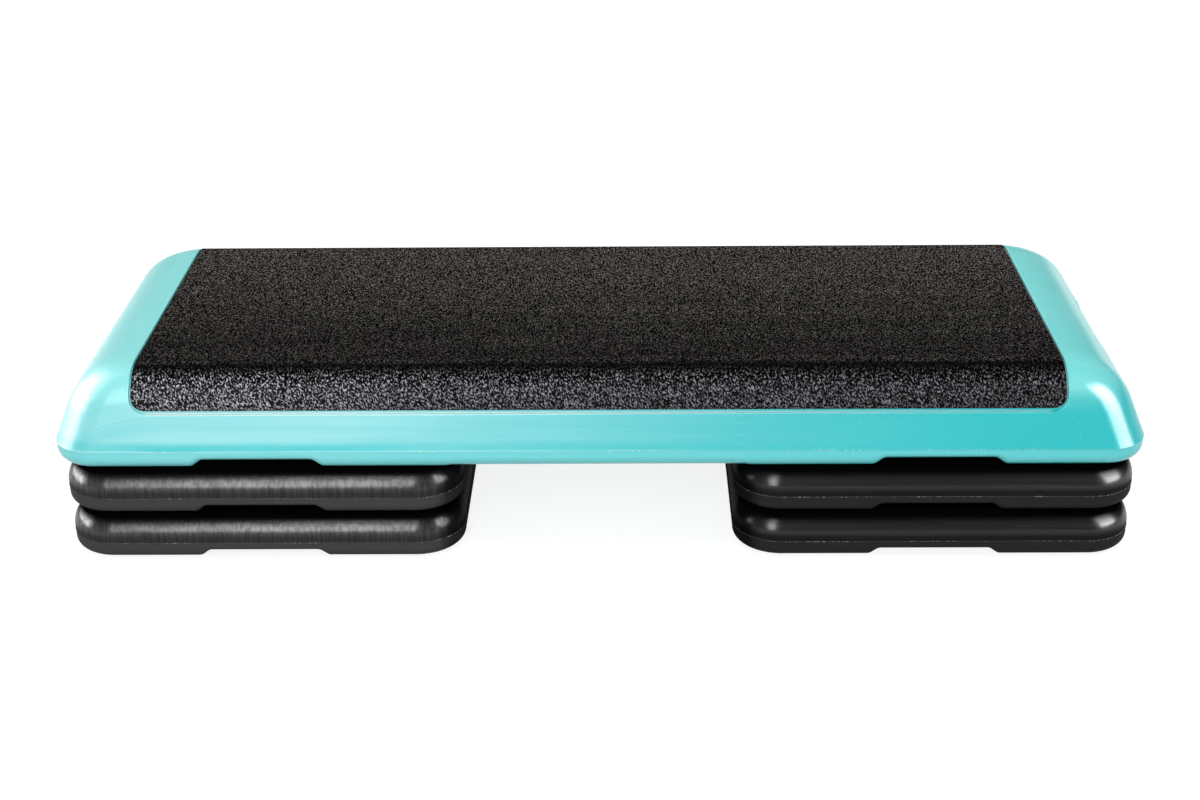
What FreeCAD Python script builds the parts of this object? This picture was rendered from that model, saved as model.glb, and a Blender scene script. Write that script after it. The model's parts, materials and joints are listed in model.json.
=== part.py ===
import FreeCAD, Part
import math
import os
import Sketcher

# Aerobic step platform: a moulded deck with a non-slip mat, on two stacks of two square risers.
# Millimetres. X runs along the deck, Y from front to back, Z up from the floor.
# Every moulding is drawn with its underside at its own Z of zero and then stood in its place.

SIZES = {
    # Heights that one riser and the deck add to the stack, feet included
    "riser_rise": 50.8,
    "deck_rise": 101.6,

    # Deck outline at the parting line of its mould, and the form of its sides above that line
    "deck_length": 1092,
    "deck_width": 406,
    "deck_corner_radius": 43,
    "deck_top_corner_radius": 32,
    "deck_parting_height": 20.5,
    "deck_lip_radius": 14,
    "deck_side_draft_angle": 10,
    "deck_nose_radius": 40,
    "deck_end_draft_angle": 22,
    "deck_end_radius": 70,

    # Deck underside
    "deck_arch_height": 8,
    "deck_arch_top_width": 108,
    "deck_arch_foot_width": 135,
    "deck_midspan_length": 305,
    "deck_midspan_relief": 1.0,
    "flute_length": 226,
    "flute_width": 46,
    "flute_pitch": 92,
    "flute_depth": 24,
    "flute_corner_radius": 14,
    "flute_draft_angle": 15,

    # Bare name panel on the right end of the deck
    "panel_width": 140,
    "panel_foot_height": 34,
    "panel_head_height": 76,
    "panel_depth": 1.2,

    # Non-slip mat, wrapped over the front and back noses of the deck
    "mat_length": 918,
    "mat_drop": 37.8,
    "mat_thickness": 3,
    "mat_corner_radius": 13,
    "mat_end_gap": 1.5,
    "mat_hem_gap": 3.6,
    "mat_glue_gap": 0.15,

    # Riser block
    "riser_length": 404,
    "riser_width": 400,
    "riser_corner_radius": 48,
    "riser_lip_radius": 10,
    "riser_shoulder_radius": 26,
    "riser_centre": 339.5,
    "riser_arch_height": 7,
    "riser_arch_top_width": 110,
    "riser_arch_foot_width": 133,

    # Boss on top of a riser, and the socket that drops over it
    "boss_size": 272,
    "boss_corner_radius": 30,
    "boss_height": 30,
    "boss_draft_angle": 12,
    "socket_side_clearance": 2,
    "socket_top_clearance": 3,

    # Rubber feet, set into pockets of their own form
    "foot_diameter": 26,
    "foot_proud": 2,
    "foot_pocket_depth": 3,
    "foot_pocket_clearance": 0.2,
    "foot_edge_chamfer": 0.8,
    "foot_spread_length": 296,
    "foot_spread_width": 296,

    # How far cutting shapes run past what they cut
    "cut_overrun": 20,
}

# Cross sections of the deck's round noses above its straight sides, as shares of the turn from its
# side to its flat top
DECK_NOSE_SHARES = (0.1, 0.28, 0.46, 0.64, 0.82, 1)

# Flats that stand for the round lower lips, the round shoulders of the risers and the round feet
LIP_FLATS = 3
SHOULDER_FLATS = 4
FOOT_FLATS = 10

DECK_HEIGHT = "(Sizes.deck_rise - Sizes.foot_proud)"
RISER_HEIGHT = "(Sizes.riser_rise - Sizes.foot_proud)"
SOCKET_SIZE = "(Sizes.boss_size + 2 * Sizes.socket_side_clearance)"
SOCKET_CORNER = "(Sizes.boss_corner_radius + Sizes.socket_side_clearance)"
SOCKET_DEPTH = "(Sizes.boss_height - Sizes.foot_proud + Sizes.socket_top_clearance)"
POCKET_RADIUS = "(Sizes.foot_diameter / 2 + Sizes.foot_pocket_clearance)"

SIDES = {"left": -1, "right": 1}
ROWS = {"front": -1, "rear": 1}
LAYERS = ("lower", "upper")

doc = FreeCAD.newDocument("StepPlatform")
sheet = doc.addObject("Spreadsheet::Sheet", "Sizes")
for row, (alias, value) in enumerate(SIZES.items(), start=1):
    sheet.set(f"A{row}", alias.replace("_", " "))
    sheet.set(f"B{row}", str(value))
    sheet.setAlias(f"B{row}", alias)
doc.recompute()


def number(expression):
    """Value of an expression on the sheet, as a plain number."""
    return float(sheet.evalExpression(expression))


def new_body(label):
    body = doc.addObject("PartDesign::Body", label)
    body.Label = label
    return body


def stand(body, x, y, z):
    """Stand a body in its place, given by expressions."""
    for axis, place in zip("xyz", (x, y, z)):
        body.setExpression(f"Placement.Base.{axis}", place)


def new_sketch(body, role, name, height="0"):
    """Sketch on one of the body's own origin planes, raised along that plane's normal."""
    sketch = body.newObject("Sketcher::SketchObject", name)
    plane = next(item for item in body.Origin.OriginFeatures if item.Role == role)
    sketch.AttachmentSupport = [(plane, "")]
    sketch.MapMode = "FlatFace"
    if height != "0":
        sketch.setExpression("AttachmentOffset.Base.z", height)
    return sketch


def bind(sketch, kind, *items):
    """Add a constraint whose last item is an expression, and tie it to the sheet."""
    *where, expression = items
    index = sketch.addConstraint(Sketcher.Constraint(kind, *where, number(expression)))
    sketch.setExpression(f"Constraints[{index}]", expression)


def fix_point(sketch, geometry, end, x, y):
    """Hold a point of the sketch at a place given by two expressions."""
    for kind, axis, place in (("DistanceX", -2, x), ("DistanceY", -1, y)):
        if place == "0":
            sketch.addConstraint(Sketcher.Constraint("PointOnObject", geometry, end, axis))
        else:
            bind(sketch, kind, -1, 1, geometry, end, place)


def draw_outline(sketch, points, arcs=None):
    """Closed outline through points given as pairs of expressions.

    arcs maps the number of a point to the radius of the arc that leaves it and to its turn,
    which is 1 for anticlockwise and -1 for clockwise. Every other run is straight.
    """
    arcs = arcs or {}
    spots = [FreeCAD.Vector(number(x), number(y), 0) for x, y in points]
    starts, ends = [], []
    for index, start in enumerate(spots):
        end = spots[(index + 1) % len(spots)]
        if index not in arcs:
            geometry = sketch.addGeometry(Part.LineSegment(start, end))
            first, last = 1, 2
        else:
            radius, turn = arcs[index]
            chord = end - start
            reach = math.sqrt(max(number(radius) ** 2 - (chord.Length / 2) ** 2, 0))
            across = FreeCAD.Vector(-chord.y, chord.x, 0).normalize() * turn
            centre = (start + end) * 0.5 + across * reach
            low, high = (start, end) if turn > 0 else (end, start)
            circle = Part.Circle(centre, FreeCAD.Vector(0, 0, 1), number(radius))
            arc = Part.ArcOfCircle(circle, circle.parameter(low), circle.parameter(high))
            geometry = sketch.addGeometry(arc)
            first, last = (1, 2) if turn > 0 else (2, 1)
            bind(sketch, "Radius", geometry, radius)
        starts.append((geometry, first))
        ends.append((geometry, last))
    for index, (x, y) in enumerate(points):
        sketch.addConstraint(Sketcher.Constraint("Coincident", *ends[index - 1], *starts[index]))
        fix_point(sketch, *starts[index], x, y)


def draw_rounded_rectangle(sketch, length, width, radius, x="0", y="0"):
    """Rectangle with round corners about a centre, all given by expressions."""
    points = []
    for along, across, long_first in ((1, -1, False), (1, 1, True), (-1, 1, False), (-1, -1, True)):
        far_x = f"({x}) + {along} * ({length}) / 2"
        far_y = f"({y}) + {across} * ({width}) / 2"
        near_x = f"{far_x} - {along} * ({radius})"
        near_y = f"{far_y} - {across} * ({radius})"
        on_end, on_side = (far_x, near_y), (near_x, far_y)
        points += [on_end, on_side] if long_first else [on_side, on_end]
    draw_outline(sketch, points, {index: (radius, 1) for index in (0, 2, 4, 6)})


def draw_foot(sketch, x, y, radius):
    """Outline of a foot or of its pocket: a round drawn with a few flats."""
    points = []
    for step in range(FOOT_FLATS):
        angle = (step + 0.5) * 360 / FOOT_FLATS
        points.append((f"{x} + {radius} * cos({angle})", f"{y} + {radius} * sin({angle})"))
    draw_outline(sketch, points)


def feature(body, kind, name, sketch, length=None, **settings):
    """Feature made from a sketch. A length makes it a pad or pocket of that expression."""
    made = body.newObject(f"PartDesign::{kind}", name)
    made.Profile = (sketch, [""])
    for setting, value in settings.items():
        setattr(made, setting, value)
    if length:
        made.setExpression("Length", length)
    return made


def loft(body, kind, name, sections, **settings):
    """Loft through a row of sections."""
    made = feature(body, kind, name, sections[0], **settings)
    made.Sections = [(section, [""]) for section in sections[1:]]


def cut(body, name, sketch, length, **settings):
    """Pocket that has to take something away from the body."""
    doc.recompute()
    before = body.Shape.Volume
    feature(body, "Pocket", name, sketch, length, **settings)
    doc.recompute()
    if not body.Shape.Volume < before:
        raise RuntimeError(f"{body.Label}: {name} cuts nothing")


def drafted_sections(body, base, depth, draft, length, width, corner, x="0", y="0"):
    """Two sketches of a drafted block: its outline at a base level, and the smaller one further up."""
    foot = new_sketch(body, "XY_Plane", "DraftFoot", base)
    draw_rounded_rectangle(foot, length, width, corner, x, y)
    head = new_sketch(body, "XY_Plane", "DraftHead", f"{base} + {depth}")
    drawn_in = f"2 * {depth} * tan({draft})"
    draw_rounded_rectangle(head, f"{length} - {drawn_in}", f"{width} - {drawn_in}", corner, x, y)
    doc.recompute()
    return [foot, head]


def chamfer_underside(body, name, size):
    """Chamfer the edges round the lowest face of the body."""
    doc.recompute()
    tip = body.Tip
    heights = [face.CenterOfMass.z for face in tip.Shape.Faces]
    lowest = heights.index(min(heights)) + 1
    chamfer = body.newObject("PartDesign::Chamfer", name)
    chamfer.Base = (tip, [f"Face{lowest}"])
    chamfer.setExpression("Size", size)


def add_sockets(body, centres):
    """Drafted sockets in the underside, at the given places along X."""
    for centre in centres:
        sections = drafted_sections(body, "0", SOCKET_DEPTH, "Sizes.boss_draft_angle",
                                    SOCKET_SIZE, SOCKET_SIZE, SOCKET_CORNER, x=centre)
        loft(body, "SubtractiveLoft", "Socket", sections, Ruled=True)


def quarter_turn(flats):
    """Angles along a quarter turn that is drawn with a few flats."""
    return [90 * step / flats for step in range(flats + 1)]


def lip_levels(radius):
    """Inset and height of each section round a lower lip, from the underside up."""
    for angle in quarter_turn(LIP_FLATS):
        yield f"{radius} * (1 - sin({angle}))", f"{radius} * (1 - cos({angle}))"


def shoulder_levels(radius, height):
    """Inset and height of each section round an upper shoulder, up to its flat top."""
    for angle in quarter_turn(SHOULDER_FLATS):
        yield f"{radius} * (1 - cos({angle}))", f"{height} - {radius} * (1 - sin({angle}))"


def block_sections(body, levels, length, width, corner):
    """Sketches of a rounded block, each drawn in from its outline by an inset, with one corner radius."""
    sections = []
    for inset, level in levels:
        section = new_sketch(body, "XY_Plane", "Section", level)
        draw_rounded_rectangle(section, f"{length} - 2 * ({inset})", f"{width} - 2 * ({inset})", corner)
        sections.append(section)
    return sections


def foot_places(centre):
    """Names and places of the four feet round a socket; outer feet are nearer the deck's end."""
    outward = 1 if number(centre) >= 0 else -1
    for row_name, row in ROWS.items():
        for side_name, side in (("outer", outward), ("inner", -outward)):
            x = f"{centre} + {side} * Sizes.foot_spread_length / 2"
            y = f"{row} * Sizes.foot_spread_width / 2"
            yield f"{row_name}_{side_name}", x, y


def add_foot_pockets(body, centres):
    sketch = new_sketch(body, "XY_Plane", "FootPocketOutline")
    for centre in centres:
        for _, x, y in foot_places(centre):
            draw_foot(sketch, x, y, POCKET_RADIUS)
    cut(body, "FootPockets", sketch, "Sizes.foot_pocket_depth", Reversed=True)


def add_arches(body, centres, height, top_width, foot_width, depth):
    """Low arches in the lip, cut from front to back at the given places along X."""
    sketch = new_sketch(body, "XZ_Plane", "ArchOutline")
    below = "-Sizes.cut_overrun"
    for centre in centres:
        points = [(f"{centre} + {side} * {width} / 2", level) for side, width, level in (
            (-1, foot_width, below), (1, foot_width, below), (1, foot_width, "0"),
            (1, top_width, height), (-1, top_width, height), (-1, foot_width, "0"))]
        draw_outline(sketch, points)
    cut(body, "Arches", sketch, f"{depth} + Sizes.cut_overrun", SideType="Symmetric")


def nose_level(radius, angle):
    """Height of a point on a round nose, at an angle up from its centre."""
    return f"({DECK_HEIGHT} - {radius} + {radius} * sin({angle}))"


def flat_reach(half_size, draft, radius):
    """Half of the flat part of the deck's top, between its round noses."""
    lean = f"({nose_level(radius, draft)} - Sizes.deck_parting_height) * tan({draft})"
    return f"({half_size} - {lean} - {radius} * cos({draft}))"


def deck_reach(level, half_size, draft, radius):
    """Half of the deck's size at a level: a drafted side, then a round nose that meets the top."""
    side = f"({half_size} - ({level} - Sizes.deck_parting_height) * tan({draft}))"
    rise = f"({level} - {DECK_HEIGHT} + {radius})"
    nose = f"({flat_reach(half_size, draft, radius)} + sqrt({radius}^2 - {rise}^2))"
    return f"({level} < {nose_level(radius, draft)} ? {side} : {nose})"


def draw_wrap(body, outer, inner, length, drop, corner_radius):
    """Sheet wrapped over the deck's front and back noses, between two offsets from its surface."""
    draft = "Sizes.deck_side_draft_angle"
    radius = "Sizes.deck_nose_radius"
    flat = flat_reach("Sizes.deck_width / 2", draft, radius)
    centre_height = f"({DECK_HEIGHT} - {radius})"
    low_height = f"({DECK_HEIGHT} - {drop})"
    run = f"(({centre_height} + {radius} * sin({draft}) - {low_height}) / cos({draft}))"

    def stations(side, offset):
        """Foot of the sheet, start of the nose and start of the flat, on one side."""
        start_y = f"({flat} + ({radius} + {offset}) * cos({draft}))"
        start_z = f"({centre_height} + ({radius} + {offset}) * sin({draft}))"
        foot = (f"{side} * ({start_y} + {run} * sin({draft}))", f"{start_z} - {run} * cos({draft})")
        return [foot, (f"{side} * {start_y}", start_z), (f"{side} * {flat}", f"{DECK_HEIGHT} + {offset}")]

    points = (stations(1, outer) + stations(-1, outer)[::-1]
              + stations(-1, inner) + stations(1, inner)[::-1])
    outer_radius, inner_radius = f"{radius} + {outer}", f"{radius} + {inner}"
    section = new_sketch(body, "YZ_Plane", "WrapSection")
    draw_outline(section, points, {1: (outer_radius, 1), 3: (outer_radius, 1),
                                   7: (inner_radius, -1), 9: (inner_radius, -1)})
    feature(body, "Pad", "Wrap", section, length, SideType="Symmetric")

    corners = new_sketch(body, "XZ_Plane", "WrapCorners")
    under = f"{low_height} - Sizes.cut_overrun"
    top = f"{low_height} + {corner_radius}"
    for side in SIDES.values():
        end_x = f"{side} * {length} / 2"
        inside_x = f"{end_x} - {side} * {corner_radius}"
        outside_x = f"{end_x} + {side} * Sizes.cut_overrun"
        draw_outline(corners, [(inside_x, low_height), (end_x, top), (outside_x, top),
                               (outside_x, under), (inside_x, under)], {0: (corner_radius, side)})
    cut(body, "RoundCorners", corners, "Sizes.deck_width + Sizes.cut_overrun", SideType="Symmetric")


def make_mat():
    body = new_body("tread_mat")
    draw_wrap(body, "0", "-Sizes.mat_thickness", "Sizes.mat_length", "Sizes.mat_drop",
              "Sizes.mat_corner_radius")
    stand(body, "0", "0", f"{len(LAYERS)} * Sizes.riser_rise + Sizes.foot_proud")
    return body


def add_mat_recess(body):
    """Recess in the deck that takes the mat, with gaps at its ends and under its front and back hems."""
    tool = new_body("MatRecess")
    draw_wrap(tool, "Sizes.cut_overrun", "-(Sizes.mat_thickness + Sizes.mat_glue_gap)",
              "(Sizes.mat_length + 2 * Sizes.mat_end_gap)", "(Sizes.mat_drop + Sizes.mat_hem_gap)",
              "(Sizes.mat_corner_radius + Sizes.mat_hem_gap)")
    doc.recompute()
    recess = body.newObject("PartDesign::Boolean", "Recess")
    recess.Type = "Cut"
    recess.setObjects([tool])
    body.Tip = recess


def add_midspan(body):
    """Underside between the two stacks: a little higher than the seats, with drafted flutes."""
    relief = new_sketch(body, "XZ_Plane", "MidspanSection")
    half = "Sizes.deck_midspan_length / 2"
    below = "-Sizes.cut_overrun"
    level = "Sizes.deck_midspan_relief"
    draw_outline(relief, [(f"-{half}", below), (half, below), (half, level), (f"-{half}", level)])
    cut(body, "Midspan", relief, "Sizes.deck_width + Sizes.cut_overrun", SideType="Symmetric")

    for step in (-1, 0, 1):
        sections = drafted_sections(body, level, "Sizes.flute_depth", "Sizes.flute_draft_angle",
                                    "Sizes.flute_length", "Sizes.flute_width", "Sizes.flute_corner_radius",
                                    y=f"{step} * Sizes.flute_pitch")
        loft(body, "SubtractiveLoft", "Flute", sections, Ruled=True)


def add_name_panel(body):
    """Bare flat panel let into the right end of the deck."""
    draft, radius = "Sizes.deck_end_draft_angle", "Sizes.deck_end_radius"
    levels = ("Sizes.panel_foot_height", "Sizes.panel_head_height")
    reaches = [deck_reach(level, "Sizes.deck_length / 2", draft, radius) for level in levels]
    inner = [(f"{reach} - Sizes.panel_depth", level) for reach, level in zip(reaches, levels)]
    outer = [(f"{reach} + Sizes.cut_overrun", level) for reach, level in zip(reaches, levels)]
    sketch = new_sketch(body, "XZ_Plane", "PanelSection")
    draw_outline(sketch, inner + outer[::-1])
    cut(body, "NamePanel", sketch, "Sizes.panel_width", SideType="Symmetric")


def make_deck():
    body = new_body("deck")
    length, width, corner = "Sizes.deck_length", "Sizes.deck_width", "Sizes.deck_corner_radius"
    centres = [f"{side} * Sizes.riser_centre" for side in SIDES.values()]

    levels = list(lip_levels("Sizes.deck_lip_radius")) + [("0", "Sizes.deck_parting_height")]
    lip = block_sections(body, levels, length, width, corner)

    end_draft, end_radius = "Sizes.deck_end_draft_angle", "Sizes.deck_end_radius"
    side_draft, nose_radius = "Sizes.deck_side_draft_angle", "Sizes.deck_nose_radius"
    straight_top = f"min({nose_level(end_radius, end_draft)}; {nose_level(nose_radius, side_draft)})"
    sections = []
    for share in (0,) + DECK_NOSE_SHARES:
        turn = f"({side_draft} + {share} * (90 - {side_draft}))"
        level = nose_level(nose_radius, turn) if share else straight_top
        section = new_sketch(body, "XY_Plane", "Section", level)
        half_length = deck_reach(level, f"{length} / 2", end_draft, end_radius)
        half_width = deck_reach(level, f"{width} / 2", side_draft, nose_radius)
        radius = f"({corner} + {share} * (Sizes.deck_top_corner_radius - {corner}))"
        draw_rounded_rectangle(section, f"2 * {half_length}", f"2 * {half_width}", radius)
        sections.append(section)
    doc.recompute()
    loft(body, "AdditiveLoft", "Sides", lip + sections[:1], Ruled=True)
    loft(body, "AdditiveLoft", "Noses", sections)

    add_sockets(body, centres)
    add_foot_pockets(body, centres)
    add_arches(body, centres, "Sizes.deck_arch_height", "Sizes.deck_arch_top_width",
               "Sizes.deck_arch_foot_width", width)
    add_midspan(body)
    add_name_panel(body)
    add_mat_recess(body)
    stand(body, "0", "0", f"{len(LAYERS)} * Sizes.riser_rise + Sizes.foot_proud")
    return body


def make_riser(label, side, layer):
    body = new_body(label)
    length, width, corner = "Sizes.riser_length", "Sizes.riser_width", "Sizes.riser_corner_radius"

    levels = list(lip_levels("Sizes.riser_lip_radius"))
    levels += shoulder_levels("Sizes.riser_shoulder_radius", RISER_HEIGHT)
    sections = block_sections(body, levels, length, width, corner)
    doc.recompute()
    loft(body, "AdditiveLoft", "Block", sections, Ruled=True)
    boss = drafted_sections(body, RISER_HEIGHT, "Sizes.boss_height", "Sizes.boss_draft_angle",
                            "Sizes.boss_size", "Sizes.boss_size", "Sizes.boss_corner_radius")
    loft(body, "AdditiveLoft", "Boss", boss, Ruled=True)

    add_sockets(body, ["0"])
    add_foot_pockets(body, ["0"])
    add_arches(body, ["0"], "Sizes.riser_arch_height", "Sizes.riser_arch_top_width",
               "Sizes.riser_arch_foot_width", width)
    stand(body, f"{side} * Sizes.riser_centre", "0", f"{layer} * Sizes.riser_rise + Sizes.foot_proud")
    return body


def make_foot(label, x, y, z):
    """Rubber foot with a chamfered lower edge."""
    body = new_body(label)
    outline = new_sketch(body, "XY_Plane", "FootOutline")
    draw_foot(outline, "0", "0", "Sizes.foot_diameter / 2")
    feature(body, "Pad", "Disc", outline, "Sizes.foot_proud + Sizes.foot_pocket_depth")
    chamfer_underside(body, "Edge", "Sizes.foot_edge_chamfer")
    stand(body, x, y, z)
    return body


pieces = [make_deck(), make_mat()]
for side_name, side in SIDES.items():
    centre = f"{side} * Sizes.riser_centre"
    for layer, layer_name in enumerate(LAYERS):
        stack = f"{layer_name}_{side_name}"
        pieces.append(make_riser(f"{stack}_riser", side, layer))
        for place, x, y in foot_places(centre):
            pieces.append(make_foot(f"{stack}_riser_foot_{place}", x, y, f"{layer} * Sizes.riser_rise"))
    for place, x, y in foot_places(centre):
        pieces.append(make_foot(f"deck_foot_{side_name}_{place}", x, y, f"{len(LAYERS)} * Sizes.riser_rise"))
doc.recompute()

for item in doc.Objects:
    if "Invalid" in item.State or "Error" in item.State:
        raise RuntimeError(f"{item.Label} could not be built: {item.State}")
for piece in pieces:
    if piece.Shape.isNull() or not piece.Shape.isValid() or len(piece.Shape.Solids) != 1:
        raise RuntimeError(f"{piece.Label} is not one sound solid")

os.makedirs("parts", exist_ok=True)
for piece in pieces:
    piece.Shape.exportStep(f"parts/{piece.Label}.step")
    print(f"{piece.Label}: {piece.Shape.Volume:.0f} mm3")
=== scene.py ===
import json
import math

import bmesh
import bpy
from mathutils import Matrix, Vector


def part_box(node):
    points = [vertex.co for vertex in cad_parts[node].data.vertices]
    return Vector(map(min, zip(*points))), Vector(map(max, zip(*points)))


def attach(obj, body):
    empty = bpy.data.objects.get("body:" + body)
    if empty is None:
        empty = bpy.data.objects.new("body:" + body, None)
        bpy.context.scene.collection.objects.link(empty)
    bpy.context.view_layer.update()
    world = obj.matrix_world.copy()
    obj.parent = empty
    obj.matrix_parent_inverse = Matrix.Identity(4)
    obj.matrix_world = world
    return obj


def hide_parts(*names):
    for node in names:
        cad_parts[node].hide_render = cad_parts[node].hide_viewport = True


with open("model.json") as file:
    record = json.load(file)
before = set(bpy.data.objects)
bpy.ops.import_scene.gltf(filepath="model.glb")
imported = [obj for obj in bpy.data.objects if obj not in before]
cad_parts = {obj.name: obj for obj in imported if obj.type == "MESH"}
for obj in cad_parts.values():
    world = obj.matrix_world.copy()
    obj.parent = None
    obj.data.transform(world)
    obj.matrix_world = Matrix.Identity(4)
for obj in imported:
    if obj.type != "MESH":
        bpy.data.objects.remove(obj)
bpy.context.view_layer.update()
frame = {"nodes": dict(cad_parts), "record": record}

bl_info = {
    "name": "Aerobic step platform",
    "version": (1, 0, 0),
    "blender": (4, 5, 0),
    "location": "3D View > Sidebar > Step",
    "description": "Builds the mouldings, mat, feet and studio of a step platform on its packed frame",
    "category": "Object",
}

# Everything is in metres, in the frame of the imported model: X along the deck, Y to the back, Z up.

RISERS = tuple(f"{layer}_{side}_riser" for layer in ("lower", "upper") for side in ("left", "right"))
UPPER_RISERS = ("upper_left_riser", "upper_right_riser")
FEET = tuple(node for node in frame["nodes"] if "_foot_" in node)
BODIES = frame["record"]["behaviour"]["bodies"]
BODY_OF_NODE = {node: body for body, nodes in BODIES.items() for node in nodes}

# Steps of the round forms
CORNER_STEPS = 20
ROUND_STEPS = 8
RIM_STEPS = 4
EDGE_STEPS = 5
NOSE_STEPS = 36
RAMP_STEPS = 8
FOOT_STEPS = 40

# Levels of the deck's rings, as shares of its drafted ends and of the start of their noses
DRAFTED_SHARES = (0.34, 0.67, 1.0)
NOSE_START_SHARES = (0.25, 0.5, 0.75)

# Dish under a foot, as shares of the foot's radius
DISH_SHARE = 0.62
DISH_RIM_SHARE = 0.72

QUARTER = math.pi / 2
FULL_TURN = 4 * QUARTER
SHARP_ANGLE = math.radians(38)

# Waves per metre of the finishes' noises, along X, Y and Z
DECK_FLOW = (3.0, 3.0, 150.0)
DECK_FINE_FLOW = (9.0, 9.0, 850.0)
DECK_CLOUD = (5.0, 9.0, 14.0)
DECK_SCUFFS = (7.0, 7.0, 30.0)
DECK_SCRATCHES = (26.0, 26.0, 1500.0)
DECK_FRAY = (300.0, 300.0, 90.0)
DECK_TEARS = (14.0, 14.0, 4.0)
DECK_GRAIN = (760.0, 760.0, 760.0)
RISER_UPRIGHT = (340.0, 340.0, 6.0)
RISER_BROAD_UPRIGHT = (60.0, 60.0, 3.0)
RISER_LENGTHWISE = (5.0, 5.0, 420.0)
RISER_CLOUD = (9.0, 9.0, 30.0)
RISER_FRAY = (300.0, 300.0, 60.0)
RISER_TEARS = (17.0, 17.0, 5.0)
MAT_GRAIN = (767.0, 383.5, 424.8)
MAT_CLUMPS = (130.0, 130.0, 130.0)
MAT_TREAD = (2.5, 60.0, 8.0)
FOOT_DUST = (160.0, 160.0, 160.0)
FOOT_GRAIN = (1800.0, 1800.0, 1800.0)

# Where a mark starts and where it is full, in metres. On the deck:
# Painted sheen from the left, fading to the right end; it also sets where the wear marks are strongest
SHEEN_AND_WEAR_ALONG = (0.46, -0.40)
# Painted sheen on the top of the ends, by depth under the top
TOP_SHEEN_DEPTH = (0.045, 0.012)
BAND_FOOT = (0.0004, 0.0016)
BAND_HEAD = (0.0125, 0.0045)
BAND_WAVE = 0.005
# Painted highlight on the recess's rim: its line, and its ends short of the mat's ends
RIM_HIGHLIGHT_LINE = (0.0011, 0.0004)
RIM_HIGHLIGHT_END = (-0.011, -0.017)
# Painted floor reflection on the lip below the parting line
DECK_LIP_REFLECTION = (-0.0002, -0.0014)
DECK_FLASH = (0.00062, 0.00028)
# On the risers:
LEFT_STACK = (0.02, -0.02)
OUTSIDE_BOSS = (0.004, 0.010)
# Less painted shade where the next layer covers the riser
UNDER_NEXT_LAYER = (0.042, 0.034)
# Painted shade on the upper shoulder under the deck or the next layer
SHADED_LEVEL = (0.0325, 0.0430)
RUBBED_LEVEL = (0.0215, 0.0305)
# Painted shade on the stacks' inner sides
SHADED_INSIDE = (0.166, 0.150)
# Painted floor reflection on the lower lip
RISER_LIP_REFLECTION = (-0.0001, -0.001)
RISER_FLASH = (0.0007, 0.0003)
# On the mat:
# Painted dark line at the bend into the noses
SHADED_BEND_DEPTH = (0.0002, 0.0018)
NOSE_DEPTH = (0.0012, 0.011)
HEM_DEPTH = (0.008, 0.020)
# Painted sheen on the mat's top, lighter towards the back
SHEEN_ACROSS = (-0.17, 0.14)
# Painted glints on the noses, brighter to the left
GLINTS_ALONG = (0.50, -0.50)
GLINTS_LEFT = (-0.05, -0.45)

# Depth of each finish's bumps
DECK_RELIEF = 0.00017
RISER_RELIEF = 0.00016
MAT_RELIEF = 0.0010
FOOT_RELIEF = 0.0001

# Where the deck's flow marks leave the level, and how steeply they sweep
FLOW_BEND_START = 0.43
FLOW_BEND = 2.6

# Lean of the mat's grain, in radians
GRAIN_LEAN = 0.55

# Name, place, target, width, height and brightness of the studio's lamps
LAMPS = (
    ("top_fill", (0.0, -0.60, 2.4), (0.0, 0.0, 0.1), 2.0, 1.2, 0.9),
    ("front_fill", (-0.20, -2.60, 1.60), (0.0, 0.0, 0.1), 1.6, 1.0, 5.5),
    ("left_card", (-1.90, 0.34, 0.71), (-0.5, -0.18, 0.16), 1.1, 1.2, 17.0),
    ("corner_card", (-1.93, -0.39, 0.42), (-0.53, -0.19, 0.08), 0.4, 0.7, 24.0),
    ("right_card", (1.78, -0.87, 0.84), (0.5, -0.19, 0.16), 1.2, 1.4, 19.0),
    ("front_card", (-0.70, -2.40, 0.95), (-0.2, -0.2, 0.1), 0.75, 1.6, 11.0),
    ("upper_card", (-0.44, -1.84, 1.90), (0.0, -0.2, 0.2), 0.6, 0.4, 14.0),
    ("back_card", (0.0, 2.60, 1.15), (0.0, 0.0, 0.2), 0.8, 0.3, 3.0),
)


def length(name, description, default):
    return bpy.props.FloatProperty(name=name, description=description, default=default,
                                   precision=5, subtype="DISTANCE", unit="LENGTH")


def angle(name, description, degrees):
    return bpy.props.FloatProperty(name=name, description=description, default=math.radians(degrees),
                                   subtype="ANGLE", unit="ROTATION")


def colour(name, description, default):
    return bpy.props.FloatVectorProperty(name=name, description=description, default=default,
                                         subtype="COLOR", size=3, min=0.0, max=1.0)


def amount(name, description, default):
    return bpy.props.FloatProperty(name=name, description=description, default=default, min=0.0)


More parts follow.
